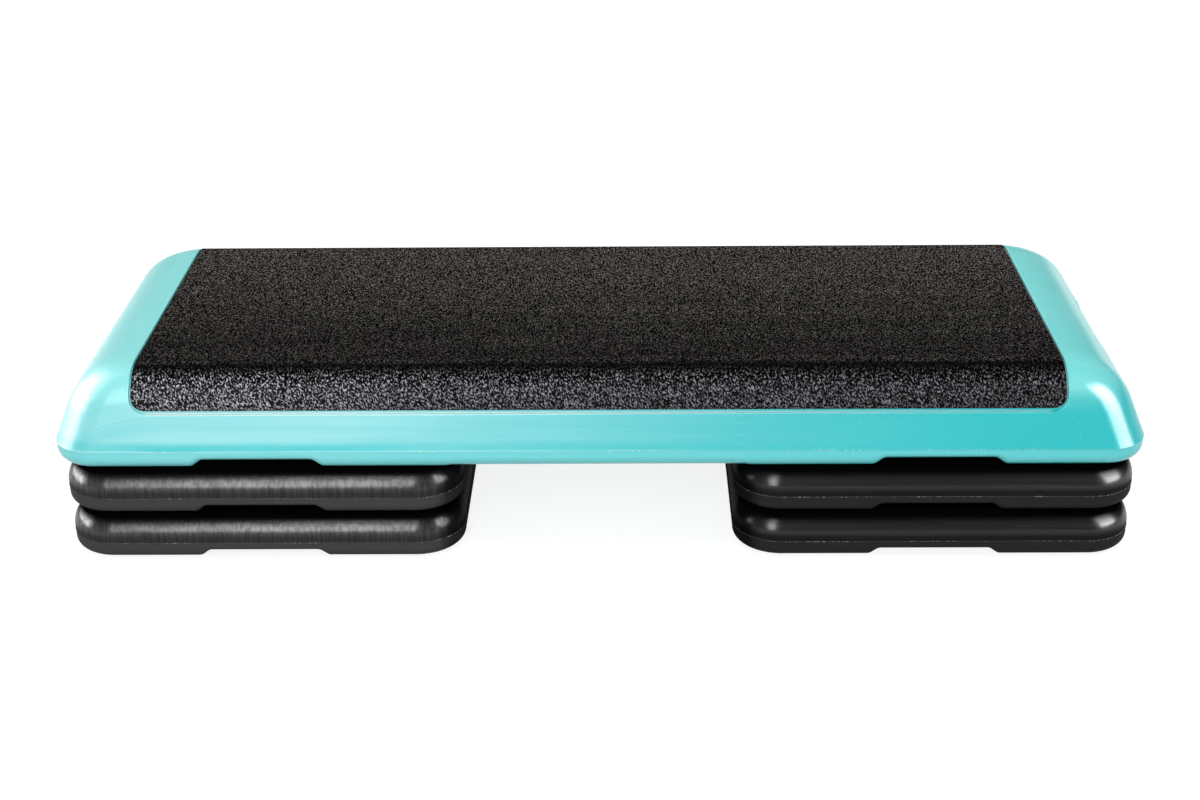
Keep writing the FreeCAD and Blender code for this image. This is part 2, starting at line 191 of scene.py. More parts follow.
class DeckSizes(bpy.types.PropertyGroup):
    """Sizes of the moulded deck, above its underside."""
    parting_height: length("Parting height", "Height of the mould's parting line", 0.0205)
    corner_radius: length("Corner radius", "Radius of the corners at the parting line", 0.043)
    top_corner_radius: length("Top corner radius", "Radius of the corners of the flat top", 0.032)
    lip_radius: length("Lip radius", "Rounding below the parting line", 0.014)
    side_draft: angle("Side draft", "Lean of the front and back", 10)
    nose_radius: length("Nose radius", "Rounding of the front and back into the top", 0.040)
    end_draft: angle("End draft", "Lean of the two ends", 22)
    end_radius: length("End radius", "Rounding of the ends into the top", 0.070)
    arch_height: length("Arch height", "Rise of the arches in the lip over each riser", 0.008)
    arch_width: length("Arch width", "Width of each arch at its foot", 0.135)
    arch_ramp: length("Arch ramp", "Length of the ramp at each side of an arch", 0.0145)
    midspan_length: length("Midspan length", "Length of the raised underside between the risers", 0.305)
    midspan_relief: length("Midspan relief", "Rise of the underside between the risers", 0.0010)
    midspan_ramp: length("Midspan ramp", "Length of the ramp at each side of the midspan", 0.008)
    flute_length: length("Flute length", "Length of the flutes under the midspan", 0.226)
    flute_width: length("Flute width", "Width of the flutes under the midspan", 0.046)
    flute_pitch: length("Flute pitch", "Spacing of the flutes", 0.092)
    flute_depth: length("Flute depth", "Depth of the flutes", 0.024)
    flute_corner: length("Flute corner", "Corner radius of the flutes", 0.014)
    flute_draft: angle("Flute draft", "Lean of the flutes' walls", 15)
    panel_width: length("Panel width", "Width of the bare panel on the right end", 0.140)
    panel_foot: length("Panel foot", "Height of the panel's lower edge", 0.034)
    panel_head: length("Panel head", "Height of the panel's upper edge", 0.076)
    panel_depth: length("Panel depth", "Depth of the panel", 0.0012)
    panel_corner: length("Panel corner", "Corner radius of the panel", 0.006)
    panel_rim: length("Panel rim", "Rounding of the panel's rim", 0.0006)


class MatSizes(bpy.types.PropertyGroup):
    """Sizes of the non-slip mat and of the recess that it lies in."""
    drop: length("Drop", "How far the mat comes down over the noses", 0.0378)
    thickness: length("Thickness", "Thickness of the mat", 0.003)
    corner_radius: length("Corner radius", "Radius of the mat's corners", 0.013)
    end_gap: length("End gap", "Gap between the mat's ends and its recess", 0.0015)
    hem_gap: length("Hem gap", "Gap under the mat's front and back hems", 0.0036)
    glue_gap: length("Glue gap", "Depth left for glue under the mat", 0.00015)
    rim_round: length("Rim rounding", "Rounding of the recess's rim", 0.0013)
    edge_round: length("Edge rounding", "Rounding of the mat's edge", 0.0010)


class RiserSizes(bpy.types.PropertyGroup):
    """Sizes of a riser, above its underside."""
    rise: length("Rise", "Height from one layer's shoulder to the next", 0.0508)
    corner_radius: length("Corner radius", "Radius of the corners in plan", 0.048)
    lip_radius: length("Lip radius", "Rounding of the lower edge", 0.010)
    shoulder_radius: length("Shoulder radius", "Rounding of the upper edge", 0.026)
    parting_height: length("Parting height", "Height of the mould's parting line", 0.0175)
    arch_height: length("Arch height", "Rise of the arch in the lower edge", 0.007)
    arch_width: length("Arch width", "Width of the arch at its foot", 0.134)
    arch_ramp: length("Arch ramp", "Length of the ramp at each side of the arch", 0.013)
    boss_size: length("Boss size", "Side of the boss at its foot", 0.272)
    boss_corner: length("Boss corner", "Corner radius of the boss", 0.030)
    boss_height: length("Boss height", "Height of the boss over the shoulder", 0.030)
    boss_draft: angle("Boss draft", "Lean of the boss and of the sockets", 12)
    boss_fillet: length("Boss fillet", "Rounding at the foot of the boss", 0.002)
    edge_round: length("Edge rounding", "Rounding of the boss's top and of the sockets' edges", 0.004)
    socket_side: length("Socket side clearance", "Gap between a boss and a socket's walls", 0.002)
    socket_top: length("Socket top clearance", "Gap between a boss and a socket's ceiling", 0.003)


class SmallSizes(bpy.types.PropertyGroup):
    """Sizes that the mouldings and their feet share."""
    foot_proud: length("Foot proud", "How far a foot stands out of its pocket", 0.002)
    foot_clearance: length("Foot clearance", "Gap round a foot in its pocket", 0.0002)
    foot_edge: length("Foot edge", "Rounding of a foot's lower edge", 0.0009)
    foot_dish: length("Foot dish", "Depth of the dish under a foot", 0.0006)
    flash_proud: length("Flash proud", "How far the flash stands out at a parting line", 0.0003)
    flash_height: length("Flash height", "Height of the flash at a parting line", 0.0012)
    overrun: length("Overrun", "How far cutting shapes run past what they cut", 0.010)


class Finishes(bpy.types.PropertyGroup):
    """Colours of the materials."""
    deck: colour("Deck", "Body colour of the deck", (0.003, 0.580, 0.612))
    # Colour of the flow marks and of the painted sheen on the deck
    deck_pale: colour("Deck haze", "Flow marks and haze on the deck", (0.300, 0.790, 0.825))
    deck_deep: colour("Deck band", "Denser band above the deck's parting line", (0.020, 0.600, 0.630))
    # Colour of the painted floor reflection on the deck's lip
    deck_lip_reflection: colour("Deck lip", "Lip below the deck's parting line", (0.190, 0.850, 0.875))
    # Colour of the painted sheen on the top of the deck's ends
    deck_top_sheen: colour("Deck dust", "Dulled top of the deck's ends", (0.280, 0.800, 0.775))
    # Also the colour of the painted highlight on the recess's rim and of the grain's specks
    fleck: colour("Fleck", "Frayed flash and scratches on the deck", (0.780, 0.900, 0.900))
    riser: colour("Riser", "Body colour of the risers", (0.0018, 0.0018, 0.0020))
    # Also the colour of the painted floor reflection on the risers' lower lip
    riser_pale: colour("Riser haze", "Flow marks and lower lip of the risers", (0.060, 0.060, 0.061))
    riser_fleck: colour("Riser fleck", "Frayed flash on the risers", (0.420, 0.420, 0.420))
    mat: colour("Mat", "Hollows of the mat's grain", (0.002, 0.0018, 0.0018))
    mat_pebble: colour("Mat pebbles", "Tops of the mat's grain", (0.170, 0.160, 0.148))
    # Colour of the painted glints on the grain of the mat's noses
    mat_nose_glints: colour("Mat noses", "Tops of the grain on the mat's noses", (0.610, 0.603, 0.668))
    foot: colour("Foot", "Rubber of the feet", (0.016, 0.016, 0.016))
    foot_dust: colour("Foot dust", "Dust on the feet", (0.060, 0.058, 0.055))
    floor: colour("Floor", "Studio floor", (0.320, 0.320, 0.320))


class Studio(bpy.types.PropertyGroup):
    """Camera and light."""
    eye: bpy.props.FloatVectorProperty(name="Eye", description="Place of the camera", size=3,
                                       default=(0.0291, -1.8664, 0.9528), subtype="XYZ", unit="LENGTH")
    tilt: angle("Tilt", "How far the camera looks down", 24.931)
    turn: angle("Turn", "How far the camera is turned to the left", 0.897)
    roll: angle("Roll", "How far the camera is rolled", -0.592)
    lens: amount("Lens", "Focal length in millimetres on a sensor 36 mm wide", 56.528)
    ambient: amount("Ambient", "Light from all round", 0.785)
    ceiling: amount("Ceiling", "Brightness of the studio's ceiling in reflections", 0.04)
    front: amount("Front", "Brightness of the studio's front in reflections", 0.13)
    back: amount("Back", "Brightness of the studio's back in reflections", 0.16)
    floor_glow: amount("Floor glow", "Brightness added to the floor where it is seen", 0.84)
    floor_size: length("Floor size", "Side of the floor", 24.0)


class StepPlatform(bpy.types.PropertyGroup):
    """All that a user would change."""
    deck: bpy.props.PointerProperty(type=DeckSizes)
    mat: bpy.props.PointerProperty(type=MatSizes)
    riser: bpy.props.PointerProperty(type=RiserSizes)
    small: bpy.props.PointerProperty(type=SmallSizes)
    finishes: bpy.props.PointerProperty(type=Finishes)
    studio: bpy.props.PointerProperty(type=Studio)


# Shader expressions

class Value:
    """A socket that can stand in a sum: each operation adds a Math node."""

    def __init__(self, nodes, socket):
        self.nodes = nodes
        self.socket = socket

    def math(self, operation, other=0.0, swapped=False):
        first, second = (other, self) if swapped else (self, other)
        return self.nodes.add("ShaderNodeMath", {"operation": operation}, {0: first, 1: second})

    def __add__(self, other):
        return self.math("ADD", other)

    def __sub__(self, other):
        return self.math("SUBTRACT", other)

    def __rsub__(self, other):
        return self.math("SUBTRACT", other, swapped=True)

    def __mul__(self, other):
        return self.math("MULTIPLY", other)

    def __abs__(self):
        return self.math("ABSOLUTE")

    __radd__ = __add__
    __rmul__ = __mul__

    def at_least(self, other):
        return self.math("MAXIMUM", other)

    def ramp(self, low, high):
        """Zero below low, one above high and smooth between; the other way round if high is lower."""
        ends = {1: low, 2: high, 3: 0.0, 4: 1.0}
        if high < low:
            ends = {1: high, 2: low, 3: 1.0, 4: 0.0}
        settings = {"interpolation_type": "SMOOTHSTEP"}
        return self.nodes.add("ShaderNodeMapRange", settings, {0: self, **ends})


class Nodes:
    """Node tree of one material or of the world."""

    def __init__(self, owner):
        owner.use_nodes = True
        self.tree = owner.node_tree
        self.tree.nodes.clear()

    def add(self, kind, settings=None, sockets=None, output=0):
        """Add a node: its settings first, then the values or links of its sockets."""
        node = self.tree.nodes.new(kind)
        for name, value in (settings or {}).items():
            setattr(node, name, value)
        for name, value in (sockets or {}).items():
            if isinstance(value, Value):
                self.tree.links.new(value.socket, node.inputs[name])
            else:
                node.inputs[name].default_value = value
        return Value(self, node.outputs[output]) if node.outputs else None

    def place(self):
        return self.add("ShaderNodeTexCoord", output=3)

    def split(self, vector):
        first = self.add("ShaderNodeSeparateXYZ", None, {0: vector})
        return [Value(self, socket) for socket in first.socket.node.outputs]

    def join(self, x, y, z):
        return self.add("ShaderNodeCombineXYZ", None, {0: x, 1: y, 2: z})

    def noise(self, vector, waves, detail=2.0, roughness=0.5):
        """Noise with its own number of waves per metre along each axis."""
        scaled = self.add("ShaderNodeVectorMath", {"operation": "MULTIPLY"}, {0: vector, 1: waves})
        sockets = {"Vector": scaled, "Scale": 1.0, "Detail": detail, "Roughness": roughness}
        return self.add("ShaderNodeTexNoise", None, sockets)

    def mix(self, mask, first, second):
        """Mix of two colours."""
        ends = [value if isinstance(value, Value) else (*value, 1.0) for value in (first, second)]
        sockets = {0: mask, 6: ends[0], 7: ends[1]}
        return self.add("ShaderNodeMix", {"data_type": "RGBA"}, sockets, output=2)

    def bump(self, height, distance, strength=1.0):
        sockets = {"Strength": strength, "Distance": distance, "Height": height}
        return self.add("ShaderNodeBump", None, sockets)

    def surface(self, shader, kind="ShaderNodeOutputMaterial"):
        self.add(kind, None, {"Surface": shader})


def middle(node):
    """Middle of a node's box."""
    low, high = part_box(node)
    return (low + high) / 2


def new_finish(name):
    material = bpy.data.materials.new(name)
    return material, Nodes(material)


def flow_marks(nodes, place):
    """Place along the deck's flow marks: level in the middle, sweeping down round the ends."""
    x, y, z = nodes.split(place)
    past = (abs(x) - FLOW_BEND_START).at_least(0.0)
    return nodes.join(x, y, z + FLOW_BEND * past * past)


def deck_finish(settings):
    """Semi-gloss teal plastic with flow marks, a denser band and frayed flash at its parting line, with
    painted light: sheen from the left, sheen on the ends' tops, a floor reflection on the lip and a
    highlight on the recess's rim.
    """
    colours = settings.finishes
    material, nodes = new_finish("teal_moulded_plastic")
    place = nodes.place()
    x, y, z = nodes.split(place)
    low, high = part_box("deck")
    above = z - (low.z + settings.deck.parting_height)

    along_flow = flow_marks(nodes, place)
    flow = nodes.noise(along_flow, DECK_FLOW, 4.0, 0.6)
    fine_flow = nodes.noise(along_flow, DECK_FINE_FLOW, 3.0, 0.6)
    cloud = nodes.noise(place, DECK_CLOUD, 3.0)
    # Painted sheen of a lamp on the left, fading to the right end; the same mask sets where scuffs,
    # roughness and flow marks are strongest
    left_sheen_and_wear = x.ramp(*SHEEN_AND_WEAR_ALONG)
    streaks = flow.ramp(0.34, 0.70) * 0.6 + cloud.ramp(0.32, 0.72) * 0.4
    # Paleness: painted sheen over the left and middle, streaked by the flow marks
    paleness = left_sheen_and_wear * (0.68 + streaks * 0.44) + streaks * 0.03
    hue = nodes.mix(paleness, colours.deck, colours.deck_pale)
    # Painted sheen on the top of the ends, paler towards the top
    top_sheen = (high.z - z).ramp(*TOP_SHEEN_DEPTH) * (0.60 + streaks * 0.25)
    hue = nodes.mix(top_sheen, hue, colours.deck_top_sheen)

    wavy = above + (cloud - 0.5) * BAND_WAVE
    band = wavy.ramp(*BAND_FOOT) * wavy.ramp(*BAND_HEAD)
    dense = 0.10 + left_sheen_and_wear * (0.40 + cloud.ramp(0.30, 0.62) * 0.50)
    hue = nodes.mix(band * dense, hue, colours.deck_deep)

    # Painted highlight along the recess's rim under the mat's front and back hems, brighter to the left
    rim_level = high.z - settings.mat.drop - settings.mat.hem_gap
    mat_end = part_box("tread_mat")[1].x
    rim = abs(z - rim_level).ramp(*RIM_HIGHLIGHT_LINE) * (abs(x) - mat_end).ramp(*RIM_HIGHLIGHT_END)
    hue = nodes.mix(rim * (0.25 + left_sheen_and_wear * 0.45), hue, colours.fleck)
    # Painted reflection of the floor on the lip below the parting line
    lip = above.ramp(*DECK_LIP_REFLECTION)
    hue = nodes.mix(lip * 0.62, hue, colours.deck_lip_reflection)

    scuffed = nodes.noise(place, DECK_SCUFFS, 1.0).ramp(0.52, 0.64) * left_sheen_and_wear
    scratch = nodes.noise(along_flow, DECK_SCRATCHES).ramp(0.66, 0.74)
    hue = nodes.mix(scratch * scuffed * 0.30, hue, colours.fleck)

    line = abs(above).ramp(*DECK_FLASH)
    fray = nodes.noise(place, DECK_FRAY, 3.0, 0.7).ramp(0.50, 0.66)
    torn = nodes.noise(place, DECK_TEARS).ramp(0.44, 0.66)
    fleck = line * (fray * torn * 0.75 + 0.10)
    hue = nodes.mix(fleck, hue, colours.fleck)

    grain = nodes.noise(place, DECK_GRAIN)
    hue = nodes.mix(grain.ramp(0.58, 0.78) * 0.12, hue, colours.fleck)
    roughness = 0.23 + left_sheen_and_wear * 0.10 + paleness * 0.05 + fleck * 0.2 + scratch * scuffed * 0.1
    height = (fine_flow * 0.7 + flow * 0.7) * (0.14 + left_sheen_and_wear * 0.86) + grain * 0.16 + fleck
    shader = nodes.add("ShaderNodeBsdfPrincipled", None, {
        "Base Color": hue,
        "Roughness": roughness,
        "Normal": nodes.bump(height, DECK_RELIEF, 0.9),
        "IOR": 1.52,
    })
    nodes.surface(shader)
    return material


def riser_finish(settings):
    """Satin black plastic, streaked upright on the left stack and flowing lengthwise on the right one,
    with painted shade on the upper shoulders and the stacks' inner sides and a painted floor reflection
    on the lower lip.
    """
    colours = settings.finishes
    material, nodes = new_finish("black_moulded_plastic")
    place = nodes.place()
    x, y, z = nodes.split(place)
    layer = (z - settings.small.foot_proud).at_least(0.0).math("MODULO", settings.riser.rise)
    above = layer - settings.riser.parting_height
    left = x.ramp(*LEFT_STACK)
    off_centre = abs(abs(x) - middle("lower_right_riser").x).at_least(abs(y))
    off_boss = off_centre - settings.riser.boss_size / 2
    outer = off_boss.ramp(*OUTSIDE_BOSS)

    upright = nodes.noise(place, RISER_UPRIGHT, 3.0, 0.65)
    broad_upright = nodes.noise(place, RISER_BROAD_UPRIGHT)
    lengthwise = nodes.noise(place, RISER_LENGTHWISE, 4.0, 0.62)
    cloud = nodes.noise(place, RISER_CLOUD, 3.0)

    streak = left * upright.ramp(0.35, 0.65) + (1 - left) * lengthwise.ramp(0.45, 0.70)
    # Painted shade on the upper shoulders and on the stacks' inner sides, lighter where the next layer
    # covers the riser, over the flow marks' haze
    shaded_top = layer.ramp(*SHADED_LEVEL)
    shaded_inside = abs(x).ramp(*SHADED_INSIDE)
    covered = off_boss.ramp(*UNDER_NEXT_LAYER)
    streaks_and_shade = 0.07 + left * 0.30 + streak * (0.09 + left * 0.18) + cloud * 0.06
    streaks_and_shade = streaks_and_shade * (1 - shaded_top).at_least(covered * 0.6) * (1 - shaded_inside * 0.8)
    hue = nodes.mix(streaks_and_shade, colours.riser, colours.riser_pale)
    # Painted reflection of the floor on the lower lip, stronger on the left stack, weaker on the inner
    # sides
    lip = above.ramp(*RISER_LIP_REFLECTION) * outer
    hue = nodes.mix(lip * (0.24 + left * 0.76) * (1 - shaded_inside * 0.6), hue, colours.riser_pale)

    line = abs(above).ramp(*RISER_FLASH) * outer
    fray = nodes.noise(place, RISER_FRAY, 3.0, 0.7).ramp(0.48, 0.64)
    torn = nodes.noise(place, RISER_TEARS).ramp(0.44, 0.62)
    fleck = line * (fray * torn * 0.5 + 0.08)
    hue = nodes.mix(fleck, hue, colours.riser_fleck)

    sheen_share = layer.ramp(*RUBBED_LEVEL) * (0.80 - left * 0.32 + streak * (0.20 + left * 0.40))
    gloss = (0.12 + sheen_share * 0.88) * (1 - shaded_top) * (1 - shaded_inside * 0.9) * outer
    roughness = 0.28 + cloud * 0.08 + left * 0.04 + fleck * 0.3
    height = left * (upright * 1.2 + broad_upright * 1.6) + (1 - left) * lengthwise * 0.7 + fleck
    shader = nodes.add("ShaderNodeBsdfPrincipled", None, {
        "Base Color": hue,
        "Roughness": roughness,
        "Normal": nodes.bump(height, RISER_RELIEF),
        "IOR": 1.48,
        "Specular IOR Level": 0.0,
        "Coat Weight": gloss,
        "Coat Roughness": 0.25,
    })
    nodes.surface(shader)
    return material


def mat_finish(settings):
    """Black mat with a pebbled, leather-like grain, with painted light: glints on the noses' grain,
    brighter to the left, sheen towards the back and a dark line at the bend into the noses.
    """
    colours = settings.finishes
    material, nodes = new_finish("black_pebbled_mat")
    place = nodes.place()
    x, y, z = nodes.split(place)
    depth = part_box("tread_mat")[1].z - z
    turned = {"Vector": place, "Angle": GRAIN_LEAN}
    leaning = nodes.add("ShaderNodeVectorRotate", {"rotation_type": "Y_AXIS"}, turned)
    grain = nodes.noise(leaning, MAT_GRAIN, 1.0)
    clump = nodes.noise(place, MAT_CLUMPS)
    tread = nodes.noise(place, MAT_TREAD, 3.0, 0.6)
    pebble = grain.ramp(0.45, 0.71)
    crest = grain.ramp(0.47, 0.71)
    # Painted shade from the bend down the noses, under the painted glints further down
    shaded_bend = depth.ramp(*SHADED_BEND_DEPTH)
    nose = depth.ramp(*NOSE_DEPTH)
    hem = depth.ramp(*HEM_DEPTH)
    glint = grain.ramp(0.52, 0.72)
    uneven = (clump - 0.5) * 0.4
    # Painted sheen, lighter towards the back of the top; the tread bands and clumps are the mat's own
    tread_and_sheen = 0.34 + y.ramp(*SHEEN_ACROSS) * 0.72 + tread.ramp(0.35, 0.72) * 0.20 + uneven
    # Painted glints on the noses, brighter to the left
    sheen_share = 0.36 + x.ramp(*GLINTS_ALONG) * 0.30 + x.ramp(*GLINTS_LEFT) * 0.35 + uneven
    hue = nodes.mix(pebble * tread_and_sheen * (1 - shaded_bend * 0.85), colours.mat, colours.mat_pebble)
    # Painted glints on the noses' grain, more even on the lower hem
    nose_glints = glint * (1 - hem) + (crest * 0.88 + 0.015) * hem
    hue = nodes.mix(nose * nose_glints * sheen_share, hue, colours.mat_nose_glints)
    shader = nodes.add("ShaderNodeBsdfPrincipled", None, {
        "Base Color": hue,
        "Roughness": 0.56 - crest * 0.14,
        "Normal": nodes.bump(grain, MAT_RELIEF),
        "IOR": 1.5,
        "Specular IOR Level": 0.0,
    })
    nodes.surface(shader)
    return material


def foot_finish(settings):
    """Matt rubber with a little dust."""
    colours = settings.finishes
    material, nodes = new_finish("foot_rubber")
    place = nodes.place()
    dust = nodes.noise(place, FOOT_DUST, 4.0, 0.6)
    hue = nodes.mix(dust.ramp(0.45, 0.75) * 0.6, colours.foot, colours.foot_dust)
    grain = nodes.noise(place, FOOT_GRAIN)
    shader = nodes.add("ShaderNodeBsdfPrincipled", None, {
        "Base Color": hue,
        "Roughness": 0.62 + dust * 0.2,
        "Normal": nodes.bump(grain, FOOT_RELIEF, 0.8),
    })
    nodes.surface(shader)
    return material


# Forms

def ring(half_x, half_y, radius, z, stations=(), centre=(0.0, 0.0)):
    """Points of a rounded rectangle, anticlockwise from its right side.

    The stations are places along X where the back and the front get a point of their own.
    """
    points = []
    for quarter, (side_x, side_y) in enumerate(((1, 1), (-1, 1), (-1, -1), (1, -1))):
        for step in range(CORNER_STEPS + 1):
            turn = (quarter + step / CORNER_STEPS) * QUARTER
            x = side_x * (half_x - radius) + radius * math.cos(turn)
            y = side_y * (half_y - radius) + radius * math.sin(turn)
            points.append(Vector((centre[0] + x, centre[1] + y, z)))
        if quarter == 0:
            points += [Vector((centre[0] + x, centre[1] + half_y, z)) for x in reversed(stations)]
        if quarter == 2:
            points += [Vector((centre[0] + x, centre[1] - half_y, z)) for x in stations]
    return points


def join_rows(mesh, rows):
    """Add the wall through a stack of closed rows of vertices."""
    size = len(rows[0])
    for low, high in zip(rows, rows[1:]):
        for index in range(size):
            after = (index + 1) % size
            mesh.faces.new((low[index], low[after], high[after], high[index]))


def add_cap(mesh, row, count):
    """Close a ring with stations: a strip between each two of them, and an end on each side."""
    corner = CORNER_STEPS + 1
    back = row[corner:corner + count][::-1]
    front = row[3 * corner + count:3 * corner + 2 * count]
    for index in range(count - 1):
        mesh.faces.new((front[index], front[index + 1], back[index + 1], back[index]))
    mesh.faces.new([back[0]] + row[corner + count:3 * corner + count] + [front[0]])
    mesh.faces.new([front[-1]] + row[3 * corner + 2 * count:] + row[:corner] + [back[-1]])


def add_rings(mesh, rings, count=0):
    """Add a closed solid through a stack of rings with the same number of stations each."""
    rows = [[mesh.verts.new(point) for point in points] for points in rings]
    join_rows(mesh, rows)
    if count:
        add_cap(mesh, rows[0], count)
        add_cap(mesh, rows[-1], count)
    else:
        mesh.faces.new(rows[0][::-1])
        mesh.faces.new(rows[-1])
    return mesh


def add_turned(mesh, centre, profile):
    """Add a closed solid turned about an upright axis, from a profile of reaches and levels."""
    turns = [FULL_TURN * step / FOOT_STEPS for step in range(FOOT_STEPS)]
    rows = []
    for reach, level in profile:
        spots = [(centre.x + reach * math.cos(turn), centre.y + reach * math.sin(turn), level)
                 for turn in turns]
        rows.append([mesh.verts.new(spot) for spot in spots])
    join_rows(mesh, rows)
    mesh.faces.new(rows[0][::-1])
    mesh.faces.new(rows[-1])
    return mesh


def new_piece(name, mesh):
    """Object made from a mesh under construction, with its faces turned outward."""
    bmesh.ops.recalc_face_normals(mesh, faces=mesh.faces[:])
    data = bpy.data.meshes.new(name)
    mesh.to_mesh(data)
    mesh.free()
    piece = bpy.data.objects.new(name, data)
    bpy.context.scene.collection.objects.link(piece)
    return piece


def apply_modifiers(piece):
    bpy.context.view_layer.update()
    evaluated = piece.evaluated_get(bpy.context.evaluated_depsgraph_get())
    data = bpy.data.meshes.new_from_object(evaluated)
    data.name = piece.name
    piece.modifiers.clear()
    piece.data = data


def volume(piece):
    mesh = bmesh.new()
    mesh.from_mesh(piece.data)
    size = mesh.calc_volume()
    mesh.free()
    return size


def carve(piece, cutter):
    """Take a cutting mesh away from a piece; fails if nothing comes off, or more than its volume."""
    tool = new_piece("cutter", cutter)
    modifier = piece.modifiers.new("Carve", "BOOLEAN")
    modifier.operation = "DIFFERENCE"
    modifier.solver = "EXACT"
    modifier.object = tool
    before = volume(piece)
    apply_modifiers(piece)
    if not 0 < before - volume(piece) < volume(tool):
        raise RuntimeError(f"{piece.name}: the cutter took nothing away, or too much")
    bpy.data.objects.remove(tool)


def smooth(piece):
    """Shade a piece smooth between its sharp edges, with the large faces leading."""
    piece.data.shade_smooth()
    piece.data.set_sharp_from_angle(angle=SHARP_ANGLE)
    modifier = piece.modifiers.new("Weigh", "WEIGHTED_NORMAL")
    modifier.keep_sharp = True
    apply_modifiers(piece)


def place_piece(piece, material, slot, *nodes):
    """Give a piece its finish and let it stand for its nodes on their body."""
    piece.data.materials.clear()
    piece.data.materials.append(material)
    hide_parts(*nodes)
    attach(piece, BODY_OF_NODE[nodes[0]])


def quarter_round(radius, steps=ROUND_STEPS):
    """Cosine and sine times a radius, along a quarter turn."""
    for step in range(steps + 1):
        turn = QUARTER * step / steps
        yield radius * math.cos(turn), radius * math.sin(turn)


def arch_lift(x, centre, width, ramp, height):
    """Rise of an arch at x: flat in the middle, with a smooth ramp on each side."""
    inside = (width / 2 - abs(x - centre)) / ramp
    share = min(max(inside, 0.0), 1.0)
    return height * (0.5 - 0.5 * math.cos(math.pi * share))


def arch_stations(centre, width, ramp):
    """Places along X that an arch needs."""
    starts = [centre - width / 2 + ramp * step / RAMP_STEPS for step in range(RAMP_STEPS + 1)]
    return starts + [2 * centre - x for x in reversed(starts)]


def lift_lip(points, lift, base, parting):
    """Raise the points below a parting line by an arch, less and less towards that line."""
    for point in points:
        share = 1 - (point.z - base) / parting
        if share > 0:
            point.z += lift(point.x) * share


def flash_levels(parting, small):
    """Height and reach of each ring of the flash along a parting line."""
    half = small.flash_height / 2
    return ((parting - half, 0.0), (parting - half / 3, small.flash_proud),
            (parting + half / 3, small.flash_proud), (parting + half, 0.0))


def socket_rings(base, half_x, half_y, corner, depth, draft, edge, overrun, centre):
    """Rings of a drafted hollow with a rounded mouth and ceiling, open downward from base."""
    def at(level, out):
        return ring(half_x + out, half_y + out, corner + out, base + level, centre=centre)

    rings = [at(-overrun, edge)]
    for across, up in quarter_round(edge):
        rings.append(at(edge - across, edge - up) if up else at(0.0, edge))
    wall_top = depth - edge
    lean = math.tan(draft)
    for across, up in quarter_round(edge):
        level = wall_top + up
        rings.append(at(level, -(level - edge) * lean - (edge - across)))
    return rings


def add_boss_socket(mesh, base, centre, settings):
    """Add the hollow that takes a riser's boss, open downward from base."""
    riser, small = settings.riser, settings.small
    half = riser.boss_size / 2 + riser.socket_side
    corner = riser.boss_corner + riser.socket_side
    depth = riser.boss_height - small.foot_proud + riser.socket_top
    return add_rings(mesh, socket_rings(base, half, half, corner, depth, riser.boss_draft,
                                        riser.edge_round, small.overrun, centre))


def add_foot_pocket(mesh, node, small):
    """Add a round pocket for a foot, which starts under its moulding."""
    low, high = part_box(node)
    radius = (high.y - low.y) / 2 + small.foot_clearance
    add_turned(mesh, middle(node), [(radius, low.z), (radius, high.z)])


class DeckForm:
    """Sections of the deck, worked out from its sizes and its box."""

    def __init__(self, settings):
        self.sizes = settings.deck
        low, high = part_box("deck")
        self.base = low.z
        self.height = high.z - low.z
        self.half_x = (high.x - low.x) / 2
        self.half_y = (high.y - low.y) / 2

    def straight_top(self, draft, radius):
        """Level where a drafted side turns into its nose."""
        return self.height - radius + radius * math.sin(draft)

    def flat(self, half, draft, radius):
        """Half of the flat top between two noses."""
        run = self.straight_top(draft, radius) - self.sizes.parting_height
        return half - run * math.tan(draft) - radius * math.cos(draft)

    def reach(self, level, half, draft, radius):
        """Half of the deck's size at a level over the parting line."""
        if level < self.straight_top(draft, radius):
            return half - (level - self.sizes.parting_height) * math.tan(draft)
        rise = level - self.height + radius
        return self.flat(half, draft, radius) + math.sqrt(max(radius ** 2 - rise ** 2, 0.0))

    def end_reach(self, level):
        return self.reach(level, self.half_x, self.sizes.end_draft, self.sizes.end_radius)

    def side_reach(self, level):
        return self.reach(level, self.half_y, self.sizes.side_draft, self.sizes.nose_radius)

    def wrap(self, along, offset):
        """Point of the section at a length along it from the middle of the top, off the surface."""
        sizes = self.sizes
        radius = sizes.nose_radius
        flat = self.flat(self.half_y, sizes.side_draft, radius)
        side = math.copysign(1.0, along)
        past = abs(along) - flat
        centre = self.base + self.height - radius
        if past <= 0:
            return along, centre + radius + offset
        turn = min(past / radius, QUARTER - sizes.side_draft)
        run = past - turn * radius
        across = flat + (radius + offset) * math.sin(turn) + run * math.cos(turn)
        return side * across, centre + (radius + offset) * math.cos(turn) - run * math.sin(turn)

    def wrap_end(self, drop):
        """Length along the section, from the middle of the top, at a depth under the top."""
        sizes = self.sizes
        radius = sizes.nose_radius
        flat = self.flat(self.half_y, sizes.side_draft, radius)
        start = radius * (1 - math.sin(sizes.side_draft))
        arc = radius * (QUARTER - sizes.side_draft)
        return flat + arc + (drop - start) / math.cos(sizes.side_draft)


